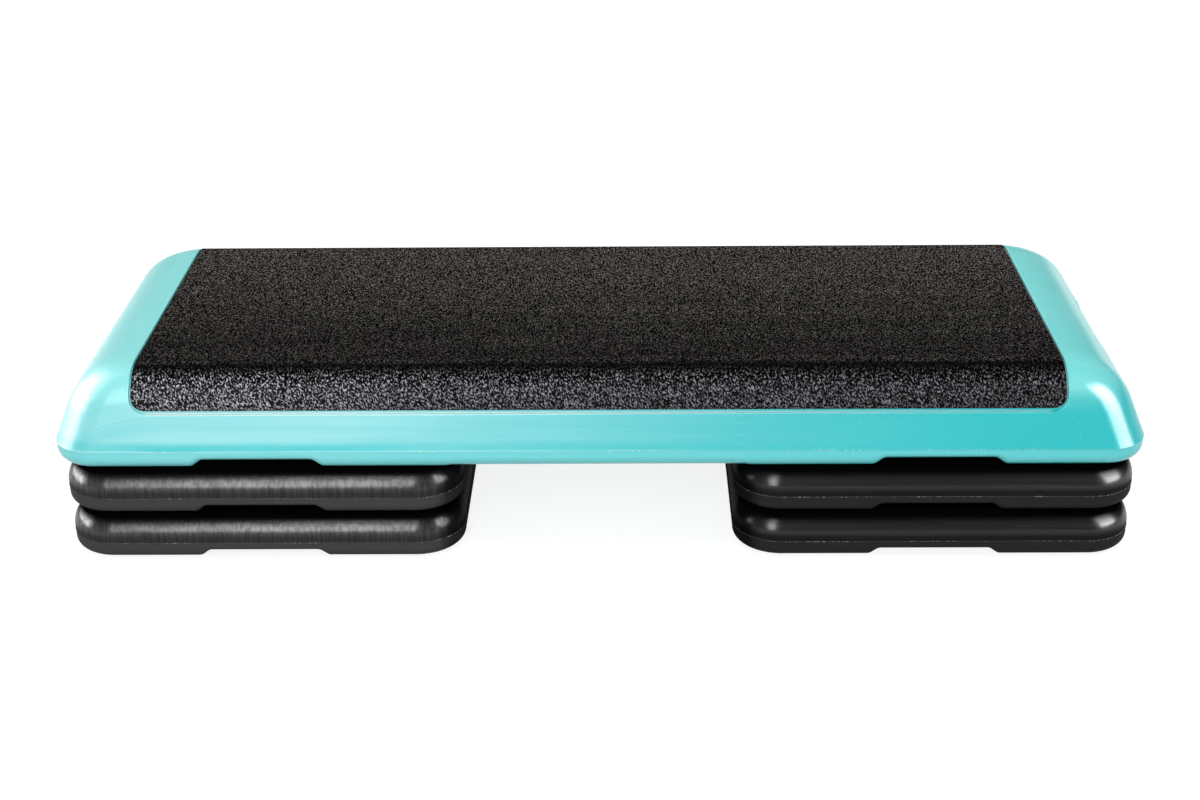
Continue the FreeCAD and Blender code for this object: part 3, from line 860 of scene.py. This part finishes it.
def add_sheet(mesh, layers):
    """Add a closed sheet: each layer is a row of pairs of points, from one edge to the other."""
    made = [[[mesh.verts.new(spot) for spot in pair] for pair in row] for row in layers]
    for row in (made[0], made[-1]):
        for before, after in zip(row, row[1:]):
            mesh.faces.new((before[0], before[1], after[1], after[0]))
    for low, high in zip(made, made[1:]):
        for index in range(len(low) - 1):
            for side in (0, 1):
                mesh.faces.new((low[index][side], low[index + 1][side],
                                high[index + 1][side], high[index][side]))
        for index in (0, -1):
            mesh.faces.new((low[index][0], low[index][1], high[index][1], high[index][0]))
    return mesh


def wrapped_layer(form, half_length, drop, corner, offset, inset):
    """Layer of a sheet over the deck's noses, off the deck's surface and in from the sheet's outline."""
    end = form.wrap_end(drop) - inset
    half = half_length - inset
    radius = max(corner - inset, 0.0)
    start = end - radius
    inner = form.flat(form.half_y, form.sizes.side_draft, form.sizes.nose_radius)
    stations = [(inner + (start - inner) * step / NOSE_STEPS, half) for step in range(NOSE_STEPS)]
    stations += [(start + up, half - radius + across) for across, up in quarter_round(radius)]
    stations = [(-along, reach) for along, reach in reversed(stations)] + stations
    return [[(sign * reach, *form.wrap(along, offset)) for sign in (-1, 1)] for along, reach in stations]


def panel_layer(form, offset, inset):
    """Layer of a sheet on the right end, off the deck's surface and in from the panel's outline."""
    sizes = form.sizes
    foot = sizes.panel_foot + inset
    head = sizes.panel_head - inset
    half = sizes.panel_width / 2 - inset
    radius = sizes.panel_corner - inset
    lower = [(foot + radius - across, half - radius + up) for across, up in quarter_round(radius)]
    upper = [(head + foot - level, reach) for level, reach in reversed(lower)]
    span = head - foot - 2 * radius
    middle = [(foot + radius + span * step / ROUND_STEPS, half) for step in range(1, ROUND_STEPS)]
    return [[(form.end_reach(level) + offset, sign * reach, form.base + level) for sign in (-1, 1)]
            for level, reach in lower + middle + upper]


def rim_layers(depth, rounding, overrun):
    """Offset and inset of each layer of a shallow recess with a rounded rim."""
    layers = [(-depth, 0.0), (-rounding, 0.0)]
    turned = list(quarter_round(rounding, RIM_STEPS))[1:]
    layers += [(up - rounding, across - rounding) for across, up in turned]
    return layers + [(overrun, -rounding)]


def deck_rings(form, small, stations):
    """Rings of the deck from its underside to its flat top."""
    sizes = form.sizes
    parting = sizes.parting_height
    rings = []
    for across, up in quarter_round(sizes.lip_radius):
        inset = sizes.lip_radius - up
        level = sizes.lip_radius - across
        rings.append((level, form.half_x - inset, form.half_y - inset, sizes.corner_radius - inset))
    for level, out in flash_levels(parting, small):
        rings.append((level, form.half_x + out, form.half_y + out, sizes.corner_radius + out))
    straight = form.straight_top(sizes.end_draft, sizes.end_radius)
    nose = form.straight_top(sizes.side_draft, sizes.nose_radius)
    levels = [parting + (straight - parting) * share for share in DRAFTED_SHARES]
    levels += [straight + (nose - straight) * share for share in NOSE_START_SHARES]
    for level in levels:
        rings.append((level, form.end_reach(level), form.side_reach(level), sizes.corner_radius))
    for step in range(NOSE_STEPS + 1):
        share = step / NOSE_STEPS
        turn = sizes.side_draft + share * (QUARTER - sizes.side_draft)
        level = form.height - sizes.nose_radius * (1 - math.sin(turn))
        radius = sizes.corner_radius + share * (sizes.top_corner_radius - sizes.corner_radius)
        rings.append((level, form.end_reach(level), form.side_reach(level), radius))
    return [ring(half_x, half_y, radius, form.base + level, stations)
            for level, half_x, half_y, radius in rings]


def deck_cutter(form, settings):
    """Sockets, flutes and foot pockets under the deck."""
    sizes, small = settings.deck, settings.small
    mesh = bmesh.new()
    for node in UPPER_RISERS:
        add_boss_socket(mesh, form.base, (middle(node).x, 0.0), settings)
    for step in (-1, 0, 1):
        add_rings(mesh, socket_rings(form.base + sizes.midspan_relief, sizes.flute_length / 2,
                                     sizes.flute_width / 2, sizes.flute_corner, sizes.flute_depth,
                                     sizes.flute_draft, settings.riser.edge_round, small.overrun,
                                     (0.0, step * sizes.flute_pitch)))
    for node in FEET:
        if node.startswith("deck_"):
            add_foot_pocket(mesh, node, small)
    return mesh


def panel_cutter(form, settings):
    """Shallow bare panel in the right end."""
    sizes = settings.deck
    layers = rim_layers(sizes.panel_depth, sizes.panel_rim, settings.small.overrun)
    return add_sheet(bmesh.new(), [panel_layer(form, offset, inset) for offset, inset in layers])


def recess_cutter(form, settings):
    """Recess for the mat, with a rounded rim."""
    mat = settings.mat
    low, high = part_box("tread_mat")
    half = (high.x - low.x) / 2 + mat.end_gap
    drop = mat.drop + mat.hem_gap
    corner = mat.corner_radius + mat.hem_gap
    layers = rim_layers(mat.thickness + mat.glue_gap, mat.rim_round, settings.small.overrun)
    return add_sheet(bmesh.new(), [wrapped_layer(form, half, drop, corner, *layer) for layer in layers])


class STEP_OT_deck(bpy.types.Operator):
    """Build the moulded deck."""
    bl_idname = "step_platform.deck"
    bl_label = "Moulded deck"

    def execute(self, context):
        settings = context.scene.step_platform
        sizes = settings.deck
        form = DeckForm(settings)
        centres = [middle(node).x for node in UPPER_RISERS]
        stations = arch_stations(0.0, sizes.midspan_length, sizes.midspan_ramp)
        for centre in centres:
            stations += arch_stations(centre, sizes.arch_width, sizes.arch_ramp)
        stations.sort()

        def lift(x):
            arches = [arch_lift(x, centre, sizes.arch_width, sizes.arch_ramp, sizes.arch_height)
                      for centre in centres]
            return max(arches + [arch_lift(x, 0.0, sizes.midspan_length, sizes.midspan_ramp,
                                           sizes.midspan_relief)])

        rings = deck_rings(form, settings.small, stations)
        for points in rings:
            lift_lip(points, lift, form.base, sizes.parting_height)
        piece = new_piece("deck_moulding", add_rings(bmesh.new(), rings, len(stations)))
        carve(piece, recess_cutter(form, settings))
        carve(piece, panel_cutter(form, settings))
        carve(piece, deck_cutter(form, settings))
        smooth(piece)
        place_piece(piece, deck_finish(settings), "deck_plastic", "deck")
        return {"FINISHED"}


class STEP_OT_mat(bpy.types.Operator):
    """Build the non-slip mat."""
    bl_idname = "step_platform.mat"
    bl_label = "Non-slip mat"

    def execute(self, context):
        settings = context.scene.step_platform
        mat = settings.mat
        form = DeckForm(settings)
        low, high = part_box("tread_mat")
        half = (high.x - low.x) / 2
        layers = [(-mat.thickness, 0.0)]
        layers += [(up - mat.edge_round, mat.edge_round - across)
                   for across, up in quarter_round(mat.edge_round, EDGE_STEPS)]
        rows = [wrapped_layer(form, half, mat.drop, mat.corner_radius, *layer) for layer in layers]
        piece = new_piece("tread_mat_sheet", add_sheet(bmesh.new(), rows))
        smooth(piece)
        place_piece(piece, mat_finish(settings), "mat_rubber", "tread_mat")
        return {"FINISHED"}


def riser_rings(node, settings, stations):
    """Rings of a riser from its underside to the top of its boss."""
    sizes, small = settings.riser, settings.small
    low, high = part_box(node)
    centre = middle(node).xy
    half_x = (high.x - low.x) / 2
    half_y = (high.y - low.y) / 2
    shoulder = sizes.rise - small.foot_proud
    levels = []
    for across, up in quarter_round(sizes.lip_radius):
        levels.append((sizes.lip_radius - across, up - sizes.lip_radius))
    levels += flash_levels(sizes.parting_height, small)
    for across, up in quarter_round(sizes.shoulder_radius, 2 * ROUND_STEPS):
        levels.append((shoulder - sizes.shoulder_radius + up, across - sizes.shoulder_radius))
    rings = [ring(half_x + out, half_y + out, sizes.corner_radius + out, low.z + level, stations, centre)
             for level, out in levels]

    half = sizes.boss_size / 2
    lean = math.tan(sizes.boss_draft)
    boss = [(sizes.boss_fillet - across, sizes.boss_fillet - up)
            for across, up in quarter_round(sizes.boss_fillet, RIM_STEPS)]
    edge = sizes.edge_round
    for across, up in quarter_round(edge):
        level = sizes.boss_height - edge + up
        boss.append((level, -level * lean - (edge - across)))
    foot = low.z + shoulder
    rings += [ring(half + out, half + out, sizes.boss_corner + out, foot + level, stations, centre)
              for level, out in boss]
    return rings


class STEP_OT_risers(bpy.types.Operator):
    """Build the stacked risers."""
    bl_idname = "step_platform.risers"
    bl_label = "Risers"

    def execute(self, context):
        settings = context.scene.step_platform
        sizes = settings.riser
        material = riser_finish(settings)
        stations = arch_stations(0.0, sizes.arch_width, sizes.arch_ramp)
        for node in RISERS:
            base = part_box(node)[0].z
            centre = middle(node).xy
            rings = riser_rings(node, settings, stations)

            def lift(x):
                return arch_lift(x, centre[0], sizes.arch_width, sizes.arch_ramp, sizes.arch_height)

            for points in rings:
                lift_lip(points, lift, base, sizes.parting_height)
            piece = new_piece(f"{node}_moulding", add_rings(bmesh.new(), rings, len(stations)))
            cutter = add_boss_socket(bmesh.new(), base, centre, settings)
            for foot in FEET:
                if foot.startswith(f"{node}_"):
                    add_foot_pocket(cutter, foot, settings.small)
            carve(piece, cutter)
            smooth(piece)
            place_piece(piece, material, "riser_plastic", node)
        return {"FINISHED"}


class STEP_OT_feet(bpy.types.Operator):
    """Build the rubber feet."""
    bl_idname = "step_platform.feet"
    bl_label = "Rubber feet"

    def execute(self, context):
        settings = context.scene.step_platform
        small = settings.small
        material = foot_finish(settings)
        edge = small.foot_edge
        for node in FEET:
            low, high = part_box(node)
            radius = (high.y - low.y) / 2
            profile = [(radius * DISH_SHARE, low.z + small.foot_dish), (radius * DISH_RIM_SHARE, low.z)]
            profile += [(radius - edge + up, low.z + edge - across)
                        for across, up in quarter_round(edge, EDGE_STEPS)]
            profile.append((radius, high.z))
            piece = new_piece(f"{node}_rubber", add_turned(bmesh.new(), middle(node), profile))
            smooth(piece)
            place_piece(piece, material, "foot_rubber", node)
        return {"FINISHED"}


def add_softbox(name, place, target, width, height, brightness):
    """Rectangular lamp that faces a point: a card only shows in reflections, a fill never does."""
    data = bpy.data.lights.new(name, "AREA")
    data.shape = "RECTANGLE"
    data.size = width
    data.size_y = height
    data.energy = brightness * math.pi * width * height
    lamp = bpy.data.objects.new(name, data)
    lamp.location = place
    lamp.rotation_euler = (Vector(target) - Vector(place)).to_track_quat("-Z", "Y").to_euler()
    lamp.visible_diffuse = not name.endswith("card")
    lamp.visible_glossy = not name.endswith("fill")
    bpy.context.scene.collection.objects.link(lamp)


def seen_directly(nodes):
    """Masks of the rays that show the studio: camera, glossy and clear rays, and the camera's alone."""
    paths = nodes.add("ShaderNodeLightPath").socket.node.outputs
    names = ("Is Camera Ray", "Is Glossy Ray", "Is Transmission Ray")
    camera, glossy, clear = (Value(nodes, paths[name]) for name in names)
    return camera.at_least(glossy).at_least(clear), camera


class STEP_OT_stage(bpy.types.Operator):
    """Set up the floor, the light and the camera."""
    bl_idname = "step_platform.stage"
    bl_label = "Studio"

    def execute(self, context):
        settings = context.scene.step_platform
        studio = settings.studio
        scene = context.scene
        self.add_floor(settings)
        self.add_world(studio)
        for lamp in LAMPS:
            add_softbox(*lamp)

        data = bpy.data.cameras.new("camera")
        data.sensor_fit = "HORIZONTAL"
        data.sensor_width = 36.0
        data.lens = studio.lens
        camera = bpy.data.objects.new("camera", data)
        turn = Matrix.Rotation(studio.turn, 4, "Z")
        tilt = Matrix.Rotation(QUARTER - studio.tilt, 4, "X")
        roll = Matrix.Rotation(studio.roll, 4, "Z")
        camera.matrix_world = Matrix.Translation(Vector(studio.eye)) @ turn @ tilt @ roll
        scene.collection.objects.link(camera)
        scene.camera = camera
        scene.view_settings.view_transform = "Standard"
        return {"FINISHED"}

    def add_floor(self, settings):
        """Pale floor, brightened where it is seen so that only the object's shadow shows on it."""
        half = settings.studio.floor_size / 2
        mesh = bmesh.new()
        corners = ((-half, -half, 0.0), (half, -half, 0.0), (half, half, 0.0), (-half, half, 0.0))
        mesh.faces.new([mesh.verts.new(corner) for corner in corners])
        floor = new_piece("floor", mesh)
        material, nodes = new_finish("studio_floor")
        shown, _ = seen_directly(nodes)
        paint = nodes.add("ShaderNodeBsdfDiffuse", None, {"Color": (*settings.finishes.floor, 1.0)})
        glow = nodes.add("ShaderNodeEmission", None, {"Strength": settings.studio.floor_glow})
        lit = nodes.add("ShaderNodeAddShader", None, {0: paint, 1: glow})
        nodes.surface(nodes.add("ShaderNodeMixShader", None, {0: shown, 1: paint, 2: lit}))
        floor.data.materials.append(material)

    def add_world(self, studio):
        """White all round, dimmer overhead and in front where only reflections see it."""
        world = bpy.data.worlds.new("studio")
        bpy.context.scene.world = world
        nodes = Nodes(world)
        x, y, z = nodes.split(nodes.add("ShaderNodeTexCoord", output=0))
        shown, camera = seen_directly(nodes)
        back = y.ramp(-0.35, 0.25) * (studio.back - studio.front) + studio.front
        overhead = z.ramp(0.50, 0.78)
        room = back * (1 - overhead) + overhead * studio.ceiling
        strength = camera + (1 - camera) * (shown * room + (1 - shown) * studio.ambient)
        sockets = {"Color": (1.0, 1.0, 1.0, 1.0), "Strength": strength}
        nodes.surface(nodes.add("ShaderNodeBackground", None, sockets), "ShaderNodeOutputWorld")


class STEP_PT_panel(bpy.types.Panel):
    """Sidebar panel that lists the pieces."""
    bl_idname = "STEP_PT_panel"
    bl_label = "Step platform"
    bl_space_type = "VIEW_3D"
    bl_region_type = "UI"
    bl_category = "Step"

    def draw(self, context):
        settings = context.scene.step_platform
        for operator in OPERATORS:
            self.layout.operator(operator.bl_idname)
        for name in ("deck", "mat", "riser", "small", "finishes", "studio"):
            box = self.layout.box()
            group = getattr(settings, name)
            for field in group.__annotations__:
                box.prop(group, field)


OPERATORS = (STEP_OT_deck, STEP_OT_mat, STEP_OT_risers, STEP_OT_feet, STEP_OT_stage)
GROUPS = (DeckSizes, MatSizes, RiserSizes, SmallSizes, Finishes, Studio, StepPlatform)


def register():
    for entry in GROUPS + OPERATORS + (STEP_PT_panel,):
        bpy.utils.register_class(entry)
    bpy.types.Scene.step_platform = bpy.props.PointerProperty(type=StepPlatform)


def unregister():
    del bpy.types.Scene.step_platform
    for entry in reversed(GROUPS + OPERATORS + (STEP_PT_panel,)):
        bpy.utils.unregister_class(entry)


def main():
    register()
    bpy.ops.step_platform.deck()
    bpy.ops.step_platform.mat()
    bpy.ops.step_platform.risers()
    bpy.ops.step_platform.feet()
    bpy.ops.step_platform.stage()


if __name__ == "__main__":
    main()
